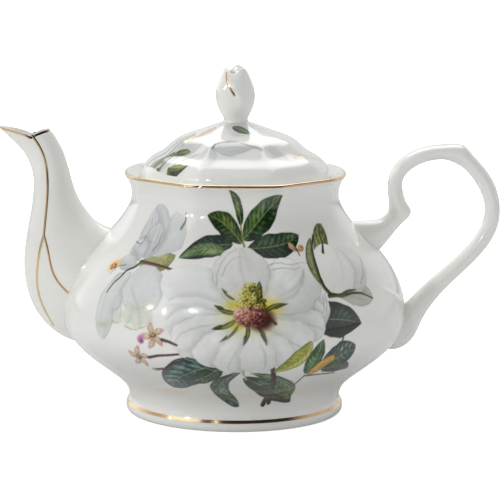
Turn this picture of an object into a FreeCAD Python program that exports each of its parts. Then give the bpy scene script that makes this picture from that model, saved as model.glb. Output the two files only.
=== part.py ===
"""Bone china teapot: lobed pot with spout and handle luted on, loose lid with a bud knob, and gilded lines.

Millimetres, +Z up. The origin lies on the table, under the middle of the length from spout tip to handle; the
pot's own axis stands axis_x to the side of it. The spout points to -X and the handle to +X.
"""
import FreeCAD
import Part
import Sketcher
import math
import os
from FreeCAD import Placement, Rotation, Vector

doc = FreeCAD.newDocument("teapot")

# ---------------------------------------------------------------- driving dimensions
DIMENSIONS = [
    ("axis_x", -6.4, "where the pot's axis stands along X"),
    ("foot_radius", 51.6, "outer radius of the foot ring where it rests"),
    ("foot_recess_radius", 46.5, "radius of the hollow under the foot"),
    ("foot_recess_depth", 4.0, "depth of the hollow under the foot"),
    ("belly_radius", 82.6, "largest radius of the pot"),
    ("belly_height", 48.0, "height of the largest radius"),
    ("neck_radius", 50.2, "smallest radius under the rim"),
    ("neck_height", 105.0, "height of the smallest radius"),
    ("rim_radius", 53.6, "outer radius of the rim"),
    ("rim_height", 116.0, "height of the rim's crown"),
    ("wall", 3.2, "thickness of the pot's wall"),
    ("seat_height", 110.6, "height of the ledge that the lid rests on"),
    ("throat_radius", 41.5, "radius of the opening inside the ledge"),
    ("strainer_hole_radius", 2.4, "radius of a strainer hole"),
    ("strainer_pitch_radius", 8.6, "radius of the ring of strainer holes"),
    ("strainer_height", 58.0, "height of the middle strainer hole"),
    ("lid_edge_radius", 45.2, "radius of the lid's edge"),
    ("lid_gap", 0.3, "gap between the lid and its ledge"),
    ("lid_wall", 2.8, "thickness of the lid"),
    ("lid_top_height", 139.2, "height of the lid's top, under the knob"),
    ("flange_radius", 40.3, "outer radius of the lid's flange"),
    ("flange_wall", 2.4, "thickness of the lid's flange"),
    ("flange_depth", 8.5, "how far the flange reaches below the ledge"),
    ("vent_radius", 1.5, "radius of the steam hole in the lid"),
    ("vent_offset", 22.0, "distance of the steam hole from the axis"),
    ("knob_radius", 9.2, "largest radius of the bud knob"),
    ("knob_height", 27.0, "height of the bud knob"),
    ("spout_wall", 2.6, "thickness of the spout's wall"),
    ("foot_line_height", 4.2, "height of the lower edge of the gilded line on the foot"),
    ("foot_line_width", 1.4, "width of the foot's gilded line"),
    ("foot_line_low_radius", 52.2, "outer radius of the foot's gilded line at its lower edge"),
    ("foot_line_high_radius", 51.5, "outer radius of the foot's gilded line at its upper edge"),
    ("foot_line_bed_radius", 50.8, "radius of the bed that the foot's gilded line lies on"),
    ("rim_line_height", 1.25, "how far the gilding reaches down the rim"),
    ("rim_line_wall", 1.2, "how far the gilding reaches over the pot's rim"),
    ("lip_line_height", 1.2, "how far the gilding reaches down the spout's lip"),
    ("lip_line_wall", 0.9, "how far the gilding reaches over the spout's lip"),
    ("line_bed", 0.03, "clearance between the rim's gilding and the bed it lies in"),
    ("line_width", 1.2, "width of the gilded lines on the spout and the knob"),
    ("line_rise", 0.2, "how far those lines stand out"),
    ("line_sink", 0.4, "how deep their feet lie under the glaze"),
]

sheet = doc.addObject("Spreadsheet::Sheet", "dimensions")
for row, (alias, value, note) in enumerate(DIMENSIONS, 1):
    sheet.set(f"A{row}", alias)
    sheet.set(f"B{row}", str(value))
    sheet.setAlias(f"B{row}", alias)
    sheet.set(f"C{row}", note)
doc.recompute()


def size(alias):
    """A driving dimension, read from the sheet."""
    return float(getattr(sheet, alias))


# ---------------------------------------------------------------- surfaces from rows of points
AROUND = 72                      # control points round the pot and the lid, 5 degrees apart
BAR_AROUND = 24                  # control points round the spout and the handle
BUD_AROUND = 60                  # control points round the knob
PANEL_CORNERS = (27.5, 67.5, 112.5, 152.5, -152.5, -112.5, -67.5, -27.5)
CORNER_SOFTNESS = 3.0            # degrees over which a panel's corner is rounded
PANEL_DEPTHS = {55.0: 0.012, 40.0: 0.05, 45.0: 0.045}   # depth at mid panel / radius, by the panel's width
SHARE_SCALE = 40.0               # mm that stand for a share of 1 while a profile is smoothed


def panel_depth(angle):
    """How far a panel lies inside the corner circle at this angle in degrees, as a share of the radius."""
    corners = sorted(PANEL_CORNERS)
    below = [c for c in corners if c <= angle] or [corners[-1] - 360.0]
    above = [c for c in corners if c > angle] or [corners[0] + 360.0]
    low, high = below[-1], above[0]
    width = high - low
    nearest = min(angle - low, high - angle)
    soft = math.hypot(nearest, CORNER_SOFTNESS) - CORNER_SOFTNESS
    share = min(1.0, soft / (width / 2.0 - CORNER_SOFTNESS))
    return PANEL_DEPTHS[round(width, 1)] * (2.0 * share - share * share)


def round_angles(count):
    """Angles in degrees of evenly spaced control points, from -180 to 180."""
    return [-180.0 + 360.0 * (k + 0.5) / count for k in range(count)]


def hull_factor(count):
    """A periodic cubic spline lies this share of the radius inside a ring of control points."""
    return (2.0 + math.cos(2.0 * math.pi / count)) / 3.0


def even_knots(count, closed):
    """Multiplicities and knots of a cubic spline with this many control points."""
    if closed:
        return [1] * (count + 1), [float(k) for k in range(count + 1)]
    spans = count - 3
    return [4] + [1] * (spans - 1) + [4], [float(k) for k in range(spans + 1)]


def chord_parameters(points):
    """Parameters for interpolating points, by the square root of the chord between them."""
    values = [0.0]
    for a, b in zip(points, points[1:]):
        values.append(values[-1] + math.sqrt(max((b - a).Length, 1e-6)))
    return [v / values[-1] for v in values]


def through(points, parameters=None):
    """A cubic spline curve through the points."""
    curve = Part.BSplineCurve()
    curve.interpolate(Points=points, Parameters=parameters or chord_parameters(points))
    return curve


def skin(columns, along_mults, along_knots):
    """A surface closed round u, from columns of control points; the second index runs along the piece."""
    mults, knots = even_knots(len(columns), True)
    surface = Part.BSplineSurface()
    surface.buildFromPolesMultsKnots(
        columns, mults, along_mults, knots, along_knots, True, False, 3, 3
    )
    return surface


def end_wire(surface, last):
    """The closed wire at one end of a skin."""
    v = surface.bounds()[3 if last else 2]
    return Part.Wire([surface.vIso(v).toShape()])


def solid_of(faces):
    """One closed solid from faces that share their edges."""
    shell = Part.makeShell(faces)
    shell.sewShape()
    solid = Part.makeSolid(shell)
    if solid.Volume < 0:
        solid.reverse()
    return solid


def capped(surface):
    """A skin closed by a flat face at each end."""
    return solid_of(
        [surface.toShape(), Part.Face(end_wire(surface, False)), Part.Face(end_wire(surface, True))]
    )


def turned_skin(profile):
    """A skin from (radius, panel share, height) points; at a share of 1 the panels have their full depth."""
    curve = through([Vector(r, share * SHARE_SCALE, z) for r, share, z in profile])
    factor = hull_factor(AROUND)
    columns = []
    for angle in round_angles(AROUND):
        direction = Vector(math.cos(math.radians(angle)), math.sin(math.radians(angle)), 0)
        depth = panel_depth(angle)
        column = []
        for pole in curve.getPoles():
            radius = pole.x * (1.0 - depth * pole.y / SHARE_SCALE) / factor
            column.append(direction * radius + Vector(0, 0, pole.z))
        columns.append(column)
    return skin(columns, curve.getMultiplicities(), curve.getKnots())


def rung_skin(rungs, section):
    """A skin through rungs: (front x, front z, back x, back z, half width).

    section(angle, share) gives the place on a rung, from -1 at the back to 1 at the front, and to the side.
    """
    fronts = [Vector(r[0], 0, r[1]) for r in rungs]
    backs = [Vector(r[2], 0, r[3]) for r in rungs]
    parameters = chord_parameters([(f + b) * 0.5 for f, b in zip(fronts, backs)])
    front_curve = through(fronts, parameters)
    back_curve = through(backs, parameters)
    width_curve = through([Vector(r[4], i, 0) for i, r in enumerate(rungs)], parameters)
    front_poles = front_curve.getPoles()
    back_poles = back_curve.getPoles()
    width_poles = width_curve.getPoles()
    count = BAR_AROUND
    factor = hull_factor(count)
    columns = []
    for angle in round_angles(count):
        column = []
        for i, (front, back, width) in enumerate(zip(front_poles, back_poles, width_poles)):
            place, side = section(angle, i / (len(front_poles) - 1.0))
            middle = (front + back) * 0.5
            half = (front - back) * 0.5
            column.append(middle + half * (place / factor) + Vector(0, width.x * side / factor, 0))
        columns.append(column)
    return skin(columns, front_curve.getMultiplicities(), front_curve.getKnots())


def fused(name, objects):
    """A fusion of document objects."""
    fusion = doc.addObject("Part::MultiFuse", name)
    fusion.Shapes = objects
    return fusion


def cut_from(name, base, tools):
    """A named piece: base with the tools cut away."""
    cut = doc.addObject("Part::Cut", name)
    cut.Label = name
    cut.Base = base
    cut.Tool = tools[0] if len(tools) == 1 else fused(name + "_cuts", tools)
    return cut


def common_of(name, base, tool):
    """A named piece: what base and tool share."""
    common = doc.addObject("Part::Common", name)
    common.Label = name
    common.Base = base
    common.Tool = tool
    return common


def origin_plane(body, role):
    """One of a body's own origin planes."""
    return [feature for feature in body.Origin.OriginFeatures if feature.Role == role][0]


def part_feature(name, shape):
    """A document object that holds a finished shape."""
    feature = doc.addObject("Part::Feature", name)
    feature.Label = name
    feature.Shape = shape
    return feature


# ---------------------------------------------------------------- pot
FOOT = size("foot_radius")
BELLY = size("belly_radius")
BELLY_Z = size("belly_height")
NECK = size("neck_radius")
NECK_Z = size("neck_height")
RIM = size("rim_radius")
RIM_Z = size("rim_height")
WALL = size("wall")
SEAT_Z = size("seat_height")
THROAT = size("throat_radius")

POT_OUTSIDE = [                                     # (radius, panel share, height), from the foot up
    (FOOT - 0.6, 0.0, 0.0),
    (FOOT + 0.5, 0.0, 1.3),
    (FOOT + 0.6, 0.0, 3.4),
    (FOOT - 0.5, 0.0, 6.2),
    (FOOT - 0.6, 0.1, 9.0),
    (FOOT + 1.6, 0.2, 13.8),
    (FOOT + 11.4, 0.4, 22.4),
    (BELLY - 7.2, 0.5, 32.5),
    (BELLY - 1.0, 0.5, 41.5),
    (BELLY, 0.5, BELLY_Z),
    (BELLY - 0.9, 0.5, 56.0),
    (BELLY - 4.2, 0.6, 65.5),
    (BELLY - 11.0, 0.7, 76.0),
    (NECK + 11.6, 0.85, 86.0),
    (NECK + 4.4, 1.0, 94.5),
    (NECK + 0.8, 1.0, 101.0),
    (NECK, 1.0, NECK_Z),
    (NECK + 0.7, 1.0, 109.8),
    (RIM - 0.7, 1.0, RIM_Z - 2.3),
    (RIM, 1.0, RIM_Z - 0.9),
]
POT_RIM = [(RIM - 0.7, 1.0, RIM_Z), (RIM - 1.9, 1.0, RIM_Z - 0.3)]
POT_INSIDE = [                                      # from the rim down to the floor of the pot
    (RIM - 4.2, 0.7, RIM_Z - 2.4),
    (THROAT + 5.6, 0.25, SEAT_Z + 1.2),
    (THROAT + 4.4, 0.0, SEAT_Z),
    (THROAT + 2.0, 0.0, SEAT_Z),
    (THROAT + 0.4, 0.0, SEAT_Z),
    (THROAT, 0.0, SEAT_Z - 0.9),
    (THROAT + 0.5, 0.0, SEAT_Z - 2.6),
    (NECK - WALL - 0.6, 0.6, NECK_Z - 2.6),
    (NECK + 4.4 - WALL, 0.9, 93.0),
    (NECK + 11.6 - WALL, 0.85, 83.8),
    (BELLY - 11.0 - WALL, 0.7, 73.8),
    (BELLY - 4.2 - WALL, 0.6, 63.8),
    (BELLY - WALL, 0.5, BELLY_Z),
    (BELLY - 7.2 - WALL, 0.5, 34.6),
    (FOOT + 10.6 - WALL, 0.4, 23.8),
    (FOOT - 2.6 - WALL, 0.1, 13.4),
    (FOOT - 16.0, 0.0, 8.4),
    (FOOT - 26.0, 0.0, 7.6),
]

pot_skin = turned_skin(POT_OUTSIDE + POT_RIM + POT_INSIDE)
pot_shell = part_feature("pot_shell", capped(pot_skin))
pot_block = part_feature("pot_block", capped(turned_skin(POT_OUTSIDE)))

foot_recess = doc.addObject("Part::Cone", "foot_recess")
foot_recess.setExpression("Radius1", "dimensions.foot_recess_radius")
foot_recess.setExpression("Radius2", "dimensions.foot_recess_radius - 5")
foot_recess.setExpression("Height", "dimensions.foot_recess_depth")

STRAINER_RING = 8
strainer_drills = []
for index in range(STRAINER_RING + 1):
    drill = doc.addObject("Part::Cylinder", f"strainer_drill_{index}")
    drill.setExpression("Radius", "dimensions.strainer_hole_radius")
    drill.Height = 22.0
    drill.Placement = Placement(Vector(-BELLY - 4.0, 0, 0), Rotation(Vector(0, 1, 0), 90))
    turn = 360.0 * index / STRAINER_RING
    reach = "0" if index == STRAINER_RING else "dimensions.strainer_pitch_radius"
    drill.setExpression("Placement.Base.y", f"{reach} * cos({turn})")
    drill.setExpression("Placement.Base.z", f"dimensions.strainer_height + {reach} * sin({turn})")
    strainer_drills.append(drill)

foot_bed_outside = doc.addObject("Part::Cone", "foot_bed_outside")
foot_bed_outside.setExpression("Radius1", "dimensions.foot_line_low_radius")
foot_bed_outside.setExpression("Radius2", "dimensions.foot_line_high_radius")
foot_bed_inside = doc.addObject("Part::Cylinder", "foot_bed_inside")
foot_bed_inside.setExpression("Radius", "dimensions.foot_line_bed_radius")
for ring in (foot_bed_outside, foot_bed_inside):
    ring.setExpression("Height", "dimensions.foot_line_width")
    ring.setExpression("Placement.Base.z", "dimensions.foot_line_height")
foot_bed = cut_from("foot_bed", foot_bed_outside, [foot_bed_inside])

CORE_HEIGHTS = (-4.0, -2.0, -0.5, 1.0, 3.0)         # of the lip's white part, from the top of the rim


def rim_band(name, bed):
    """The room outside the lip's white part and above the gilding's lower edge, larger by the bed."""
    slab = doc.addObject("Part::Cylinder", name + "_slab")
    slab.setExpression("Radius", "dimensions.rim_radius + 10")
    slab.Height = 10.0
    slab.setExpression("Placement.Base.z", f"dimensions.rim_height - dimensions.rim_line_height - {bed}")
    radius = RIM - size("rim_line_wall") - bed
    core = part_feature(name + "_core", capped(turned_skin([(radius, 1.0, RIM_Z + z) for z in CORE_HEIGHTS])))
    return cut_from(name, slab, [core])


rim_bed = rim_band("rim_bed", size("line_bed"))
pot_body = cut_from("pot_body", pot_shell, [foot_recess, foot_bed, rim_bed] + strainer_drills)
rim_gilding = common_of("rim_gilding", pot_shell, rim_band("rim_line", 0.0))

foot_gilding = doc.addObject("PartDesign::Body", "foot_gilding")
foot_profile = foot_gilding.newObject("Sketcher::SketchObject", "foot_line_profile")
foot_profile.AttachmentSupport = [(origin_plane(foot_gilding, "XZ_Plane"), "")]
foot_profile.MapMode = "FlatFace"
LINE_LOW = "dimensions.foot_line_height"
LINE_HIGH = "dimensions.foot_line_height + dimensions.foot_line_width"
LINE_CORNERS = [                                    # of the line's section: (radius, height)
    ("dimensions.foot_line_bed_radius", LINE_LOW),
    ("dimensions.foot_line_low_radius", LINE_LOW),
    ("dimensions.foot_line_high_radius", LINE_HIGH),
    ("dimensions.foot_line_bed_radius", LINE_HIGH),
]
ROUGH_CORNERS = [Vector(50, 4, 0), Vector(52, 4, 0), Vector(52, 6, 0), Vector(50, 6, 0)]
for start, end in zip(ROUGH_CORNERS, ROUGH_CORNERS[1:] + ROUGH_CORNERS[:1]):
    foot_profile.addGeometry(Part.LineSegment(start, end), False)
for index in range(4):
    foot_profile.addConstraint(Sketcher.Constraint("Coincident", index, 2, (index + 1) % 4, 1))
for index, (radius, height) in enumerate(LINE_CORNERS):
    for way, value in (("DistanceX", radius), ("DistanceY", height)):
        number = foot_profile.addConstraint(Sketcher.Constraint(way, -1, 1, index, 1, 5.0))
        foot_profile.setExpression(f"Constraints[{number}]", value)
foot_turn = foot_gilding.newObject("PartDesign::Revolution", "foot_line_turn")
foot_turn.Profile = foot_profile
foot_turn.ReferenceAxis = (foot_profile, ["V_Axis"])
foot_turn.Angle = 360.0
pieces = [pot_body, rim_gilding, foot_gilding]

# ---------------------------------------------------------------- spout
SPOUT_WALL = size("spout_wall")
SPOUT_RUNGS = [                  # (front x, front z, back x, back z, half width), from the root to the lip
    (-52.0, 27.0, -40.0, 84.0, 22.0),
    (-73.0, 31.5, -57.0, 87.0, 20.0),
    (-84.5, 36.0, -66.0, 90.8, 17.5),
    (-93.6, 44.5, -71.0, 96.0, 15.0),
    (-99.3, 56.0, -74.6, 101.5, 13.0),
    (-101.3, 69.0, -76.8, 106.5, 11.6),
    (-100.4, 82.0, -78.4, 111.5, 10.4),
    (-98.2, 94.0, -79.8, 117.0, 9.4),
    (-96.7, 105.0, -81.4, 122.4, 8.6),
    (-97.0, 114.5, -83.3, 127.0, 8.1),
    (-99.9, 122.5, -85.4, 130.8, 7.8),
    (-104.6, 128.4, -87.0, 133.4, 7.6),
    (-111.6, 135.0, -88.6, 135.2, 7.4),
    (-117.0, 141.0, -90.6, 141.6, 7.6),
]


def spout_section(angle, share):
    """An egg with a shallow crease on each side, which becomes a notch at the lip."""
    turn = math.radians(angle)
    crease_at = 72.0 + 28.0 * share
    crease = math.exp(-(((abs(angle) - crease_at) / 13.0) ** 2))
    depth = 0.05 + 0.16 * max(0.0, share - 0.72) / 0.28
    pinch = 1.0 - depth * crease
    beak = 1.0 - 0.28 * share * (1.0 + math.cos(turn)) / 2.0
    return math.cos(turn) * pinch, math.sin(turn) * pinch * beak


def inward(rung, wall):
    """The rung of the inner skin, one wall thickness inside an outer rung."""
    front = Vector(rung[0], 0, rung[1])
    back = Vector(rung[2], 0, rung[3])
    step = (back - front).normalize() * wall
    front, back = front + step, back - step
    return (front.x, front.z, back.x, back.z, rung[4] - wall)


LIP_LINE = [                                        # the lip's edge seen from the side, from the beak back
    (-130.0, 139.5),
    (-118.0, 138.2),
    (-112.6, 136.9),
    (-105.0, 135.2),
    (-99.5, 133.5),
    (-97.2, 132.6),
    (-95.0, 133.6),
    (-90.0, 135.4),
    (-80.0, 136.6),
    (-70.0, 137.5),
]


def above_lip(drop):
    """Everything above the lip's line, lowered by drop."""
    edge = through([Vector(x, -40.0, z - drop) for x, z in LIP_LINE])
    first, last = edge.value(edge.FirstParameter), edge.value(edge.LastParameter)
    frame = Part.makePolygon([last, Vector(last.x, -40, 190), Vector(first.x, -40, 190), first])
    return Part.Face(Part.Wire([edge.toShape()] + frame.Edges)).extrude(Vector(0, 80, 0))


spout_surface = rung_skin(SPOUT_RUNGS, spout_section)
spout_blank = part_feature("spout_blank", capped(spout_surface))
spout_hollow = part_feature(
    "spout_hollow", capped(rung_skin([inward(r, SPOUT_WALL) for r in SPOUT_RUNGS], spout_section))
)
spout_top = part_feature("spout_top", above_lip(0.0))
spout_top_line = part_feature("spout_top_line", above_lip(size("lip_line_height")))
lip_core = part_feature(
    "lip_core", capped(rung_skin([inward(r, size("lip_line_wall")) for r in SPOUT_RUNGS], spout_section))
)
lip_band = cut_from("lip_band", spout_top_line, [lip_core])
spout = cut_from("spout", spout_blank, [spout_hollow, pot_block, lip_band, spout_top])
lip_ring = common_of("lip_ring", spout_blank, lip_band)
spout_lip_gilding = cut_from("spout_lip_gilding", lip_ring, [spout_hollow, spout_top])

LINE_WIDTH = size("line_width")
LINE_RISE = size("line_rise")
LINE_SINK = size("line_sink")
SPOUT_LINE = [                                      # (share of the way up, angle from the front)
    (0.90, 98.0),
    (0.87, 95.0),
    (0.80, 91.0),
    (0.71, 88.0),
    (0.61, 88.0),
    (0.53, 87.0),
    (0.45, 81.0),
]
SPOUT_BRANCHES = [
    [(0.45, 81.0), (0.41, 66.0), (0.38, 57.0), (0.33, 45.0), (0.27, 36.0), (0.23, 26.0)],
    [(0.45, 81.0), (0.42, 83.0), (0.36, 82.0), (0.31, 78.0), (0.27, 77.0), (0.22, 77.0)],
]


def spout_place(share, angle):
    """A point of the spout's skin and its outward normal, this share of the way up and at this angle."""
    low_u, high_u, low_v, high_v = spout_surface.bounds()
    turn = (angle + 180.0) / 360.0 - 1.5 / BAR_AROUND
    u = low_u + (high_u - low_u) * (turn % 1.0)
    v = low_v + (high_v - low_v) * share
    return spout_surface.value(u, v), spout_surface.normal(u, v) * -1.0


RIBBON_CORNERS = (                                  # across / half the width, up (+ rise, - sink)
    (-1.0, -LINE_SINK),
    (-0.9, 0.7 * LINE_RISE),
    (0.0, LINE_RISE),
    (0.9, 0.7 * LINE_RISE),
    (1.0, -LINE_SINK),
)


def ribbon(places):
    """A raised line along points with their outward normals; its foot lies under the glaze."""
    path = through([point for point, normal in places])
    sections = []
    for point, normal in places:
        side = path.tangent(path.parameter(point))[0].cross(normal).normalize()
        ring = [point + side * (across * LINE_WIDTH / 2.0) + normal * up for across, up in RIBBON_CORNERS]
        sections.append(Part.makePolygon(ring + ring[:1]))
    return Part.makeLoft(sections, True, False)


def spout_lines(side):
    """The gilded line on one side of the spout, which splits in two lower down."""
    runs = [SPOUT_LINE] + SPOUT_BRANCHES
    ribbons = [ribbon([spout_place(share, side * angle) for share, angle in run]) for run in runs]
    return ribbons[0].fuse(ribbons[1:])


for label, side in (("spout_line_near", -1.0), ("spout_line_far", 1.0)):
    line = part_feature(label + "_bead", spout_lines(side))
    pieces.append(cut_from(label, line, [spout_blank, pot_block]))
pieces += [spout, spout_lip_gilding]

# ---------------------------------------------------------------- handle
HANDLE_RUNGS = [                 # (outer x, outer z, inner x, inner z, half width), from the top root round
    (50.0, 90.5, 55.0, 66.0, 6.8),
    (62.0, 92.2, 68.0, 76.5, 6.4),
    (69.0, 93.0, 75.2, 85.2, 6.0),
    (72.4, 95.6, 80.0, 91.0, 5.8),
    (73.6, 98.8, 84.2, 96.2, 5.7),
    (73.4, 102.4, 82.2, 100.8, 5.6),
    (72.8, 106.8, 80.2, 106.4, 5.5),
    (73.2, 112.0, 80.0, 111.4, 5.5),
    (75.6, 118.6, 82.6, 115.8, 5.5),
    (82.0, 124.6, 88.0, 119.6, 5.6),
    (91.5, 128.3, 94.5, 121.6, 5.7),
    (101.0, 129.4, 100.6, 121.8, 5.8),
    (108.6, 129.0, 105.4, 120.0, 5.9),
    (112.4, 125.4, 109.0, 117.8, 5.9),
    (118.4, 118.8, 113.0, 113.6, 5.8),
    (124.0, 110.2, 117.0, 107.4, 5.7),
    (126.7, 99.8, 119.5, 99.6, 5.7),
    (126.0, 90.4, 118.7, 92.0, 5.7),
    (121.8, 81.4, 115.2, 84.8, 5.7),
    (113.8, 71.8, 108.2, 76.6, 5.8),
    (103.4, 61.6, 98.4, 67.6, 5.9),
    (95.6, 52.6, 89.2, 59.2, 6.1),
    (90.2, 43.8, 83.0, 53.0, 6.4),
    (86.6, 36.0, 77.4, 48.8, 6.8),
    (80.4, 30.4, 70.0, 46.0, 7.2),
    (70.0, 30.4, 60.0, 44.5, 7.4),
]


def handle_section(angle, share):
    """A rounded bar with a soft ridge along each edge of its outer face."""
    turn = math.radians(angle)
    ridge = 0.07 * math.exp(-(((abs(angle) - 52.0) / 20.0) ** 2))
    return math.cos(turn) * (1.0 + ridge), math.sin(turn) * (1.0 + ridge)


handle_skin = rung_skin(HANDLE_RUNGS, handle_section)
handle_bar = part_feature("handle_bar", capped(handle_skin))
pieces.append(cut_from("handle", handle_bar, [pot_block]))

# ---------------------------------------------------------------- lid
EDGE = size("lid_edge_radius")
LID_Z = SEAT_Z + size("lid_gap")
LID_TOP = size("lid_top_height")
LID_WALL = size("lid_wall")
FLANGE = size("flange_radius")
FLANGE_WALL = size("flange_wall")
FLANGE_Z = SEAT_Z - size("flange_depth")

LID_SKIN = [                              # (radius, panel share, height), from the middle out and under
    (5.5, 0.0, LID_TOP + 0.6),
    (9.0, 0.1, LID_TOP - 0.5),
    (15.0, 0.4, LID_TOP - 2.7),
    (22.0, 0.8, LID_TOP - 5.2),
    (27.0, 1.1, LID_TOP - 7.2),
    (31.0, 1.4, LID_TOP - 9.9),
    (35.0, 1.4, LID_TOP - 13.3),
    (39.0, 1.2, LID_TOP - 15.7),
    (42.4, 1.0, LID_TOP - 18.2),
    (EDGE - 0.6, 0.9, LID_TOP - 21.0),
    (EDGE, 0.7, LID_TOP - 24.0),
    (EDGE - 0.1, 0.5, LID_Z + 1.6),
    (EDGE - 0.5, 0.1, LID_Z + 0.3),
    (EDGE - 1.4, 0.0, LID_Z),
    (FLANGE + 1.2, 0.0, LID_Z),
    (FLANGE + 0.2, 0.0, LID_Z - 0.4),
    (FLANGE, 0.0, LID_Z - 2.0),
    (FLANGE - 0.3, 0.0, FLANGE_Z + 0.9),
    (FLANGE - 1.2, 0.0, FLANGE_Z),
    (FLANGE - FLANGE_WALL, 0.0, FLANGE_Z + 1.0),
    (FLANGE - FLANGE_WALL, 0.0, LID_Z),
    (FLANGE - FLANGE_WALL, 0.2, LID_Z + 5.0),
    (34.0, 0.9, LID_TOP - 13.6 - LID_WALL),
    (29.0, 1.0, LID_TOP - 9.3 - LID_WALL),
    (22.0, 0.7, LID_TOP - 5.6 - LID_WALL),
    (14.0, 0.3, LID_TOP - 2.8 - LID_WALL),
    (6.0, 0.0, LID_TOP - 1.6 - LID_WALL),
]
lid_shell = part_feature("lid_shell", capped(turned_skin(LID_SKIN)))

vent_drill = doc.addObject("Part::Cylinder", "vent_drill")
vent_drill.setExpression("Radius", "dimensions.vent_radius")
vent_drill.setExpression("Height", "14")
vent_drill.setExpression("Placement.Base.y", "dimensions.vent_offset")
vent_drill.setExpression("Placement.Base.z", "dimensions.lid_top_height - 12")

KNOB = size("knob_radius")
KNOB_Z = LID_TOP - 0.6
KNOB_TALL = size("knob_height")
KNOB_SKIN = [                             # (radius / largest radius, height / knob height, petal share)
    (0.80, 0.00, 0.0),
    (0.67, 0.04, 0.0),
    (0.63, 0.09, 0.1),
    (0.70, 0.15, 0.4),
    (0.85, 0.26, 0.8),
    (0.97, 0.39, 1.0),
    (1.00, 0.50, 1.0),
    (0.97, 0.62, 1.0),
    (0.88, 0.73, 1.1),
    (0.77, 0.83, 1.1),
    (0.66, 0.91, 1.1),
    (0.57, 0.955, 1.1),
    (0.49, 0.955, 1.0),
    (0.40, 0.90, 0.6),
    (0.28, 0.82, 0.2),
    (0.14, 0.79, 0.0),
]
PETAL_TURNS = (0.0, 150.0, 255.0)        # degrees from the front petal's free edge to each petal's own
PETAL_TIPS = (-45.0, 75.0, 195.0)        # where the tips stand round the mouth, in degrees
PETAL_STEP = 0.11                        # height of a petal's free edge over the next petal / the radius
STEP_TURN = 9.6                          # degrees over which a petal's free edge drops to the next petal
MOUTH_START = 0.80                       # share of the height above which the petals' tips differ
TIP_RISE = 1.3                           # how far a petal's tip rises over the mouth
BACK_RISE = 0.5                          # how far the mouth's back edge does


def seam_angle(height):
    """Where the front petal's free edge stands, in degrees, at a share of the knob's height."""
    climb = height - 0.5
    return -95.0 - 95.0 * climb - 70.0 * climb * climb


def petal_step(angle, height):
    """How far a petal's free edge stands over the next petal; the seams wind as they climb."""
    beyond = (angle - seam_angle(height)) % 360.0
    start = max(turn for turn in PETAL_TURNS if turn <= beyond)
    end = min([turn for turn in PETAL_TURNS if turn > beyond] + [360.0])
    if beyond - start < STEP_TURN:
        return -0.5 + (beyond - start) / STEP_TURN
    return 0.5 - (beyond - start - STEP_TURN) / (end - start - STEP_TURN)


def tip_rise(angle, height):
    """How far the open mouth of the bud rises at the petals' tips and at the back."""
    share = max(0.0, min(1.0, (height - MOUTH_START) / 0.12))
    tips = math.cos(math.radians(3.0 * (angle - PETAL_TIPS[0])))
    return share * (TIP_RISE * tips + BACK_RISE * math.sin(math.radians(angle)))


def knob_skin():
    """The bud's skin: petals that overlap each other like shingles and open a little at the top."""
    curve = through([Vector(r * KNOB, z * KNOB_TALL, share) for r, z, share in KNOB_SKIN])
    columns = []
    for angle in round_angles(BUD_AROUND):
        direction = Vector(math.cos(math.radians(angle)), math.sin(math.radians(angle)), 0)
        column = []
        for pole in curve.getPoles():
            height = pole.y / KNOB_TALL
            radius = pole.x * (1.0 + PETAL_STEP * pole.z * petal_step(angle, height))
            column.append(direction * radius + Vector(0, 0, KNOB_Z + pole.y + tip_rise(angle, height)))
        columns.append(column)
    return skin(columns, curve.getMultiplicities(), curve.getKnots())


bud_surface = knob_skin()
bud_blank = part_feature("bud_blank", capped(bud_surface))
SEAM_RUN = (0.52, 0.62, 0.73, 0.83, 0.92)           # how far up the knob the gilded part of a seam passes


def seam_bead(petal_turn):
    """The gilded edge of one petal, as far up as the bud's mouth."""
    places = []
    for height in SEAM_RUN:
        turn = math.radians(seam_angle(height) + 4.0 + petal_turn)
        outward = Vector(math.cos(turn), math.sin(turn), 0)
        axis = Vector(0, 0, KNOB_Z + height * KNOB_TALL)
        ray = Part.LineSegment(axis, axis + outward * 30.0).toShape()
        wall = bud_blank.Shape.common(ray).Vertexes
        if wall:
            places.append((wall[-1].Point, outward))
    return ribbon(places)


seam_beads = part_feature("seam_beads", Part.makeCompound([seam_bead(turn) for turn in PETAL_TURNS]))
bud_gilding = cut_from("bud_gilding", seam_beads, [bud_blank])
bud_knob = cut_from("bud_knob", bud_blank, [lid_shell])
lid_dome = cut_from("lid_dome", lid_shell, [vent_drill])
pieces += [bud_knob, bud_gilding, lid_dome]

# ---------------------------------------------------------------- checks and files
for piece in pieces:
    piece.Placement = Placement(Vector(size("axis_x"), 0, 0), Rotation())
doc.recompute()
os.makedirs("parts", exist_ok=True)
for thing in doc.Objects:
    bad = [state for state in thing.State if state in ("Invalid", "Error")]
    if bad:
        raise RuntimeError(f"{thing.Name} is {bad}")
for piece in pieces:
    shape = piece.Shape
    if shape.isNull() or not shape.isValid() or shape.Volume <= 0:
        raise RuntimeError(f"{piece.Label} has no valid shape")
    print(piece.Label, len(shape.Solids), round(shape.Volume), shape.BoundBox)
    shape.exportStep(f"parts/{piece.Label}.step")
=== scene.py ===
"""Looks of the china teapot: glazed china, gilding, and magnolia sprays printed on the pot and the lid."""
import math

import bpy
import numpy as np
from mathutils import Euler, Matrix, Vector
from mathutils.bvhtree import BVHTree


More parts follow.
